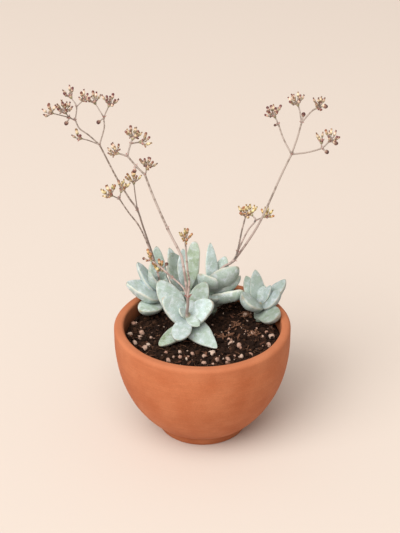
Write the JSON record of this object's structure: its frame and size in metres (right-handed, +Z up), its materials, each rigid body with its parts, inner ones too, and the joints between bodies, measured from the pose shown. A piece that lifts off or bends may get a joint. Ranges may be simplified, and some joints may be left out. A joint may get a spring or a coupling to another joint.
{
  "type": "potted crassula",
  "caption": "Powdery blue-green succulent with boat-shaped stacked leaves and branched flower stalks, rooted in gritty soil in a round terracotta bowl on a turned foot.",
  "frame": {"origin": "middle of the underside of the bowl's foot, on the surface it stands on", "axes": "+Z up through the bowl's middle, -Y towards the viewer of the front view, +X to that viewer's right"},
  "size_m": [0.1741, 0.1094, 0.2208],
  "materials": {
    "terracotta": "smooth matte unglazed terracotta",
    "potting_mix": "loose dark peat with pumice grit",
    "glaucous_leaf": "powdery waxed succulent leaf",
    "flower_stalk": "matte pinkish tan flower stalk",
    "flower_bunch": "satin olive and maroon flowers"
  },
  "bodies": {
    "root": {"pot": "terracotta", "soil": "potting_mix", "rosette_front": "glaucous_leaf", "rosette_left": "glaucous_leaf", "rosette_back": "glaucous_leaf", "rosette_middle": "glaucous_leaf", "rosette_right": "glaucous_leaf", "stalk_left": "flower_stalk", "stalk_front": "flower_stalk", "stalk_middle": "flower_stalk", "head_left_01": "flower_bunch", "head_left_02": "flower_bunch", "head_left_03": "flower_bunch", "head_left_04": "flower_bunch", "head_left_05": "flower_bunch", "head_left_06": "flower_bunch", "head_left_07": "flower_bunch", "head_left_08": "flower_bunch", "head_left_09": "flower_bunch", "head_left_10": "flower_bunch", "head_front_01": "flower_bunch", "head_front_02": "flower_bunch", "head_front_03": "flower_bunch", "head_front_04": "flower_bunch", "head_front_05": "flower_bunch", "head_front_06": "flower_bunch", "head_front_07": "flower_bunch", "head_middle_01": "flower_bunch", "head_middle_02": "flower_bunch", "head_middle_03": "flower_bunch", "head_middle_04": "flower_bunch", "head_middle_05": "flower_bunch", "head_middle_06": "flower_bunch", "head_middle_07": "flower_bunch", "head_middle_08": "flower_bunch"}
  },
  "joints": []
}
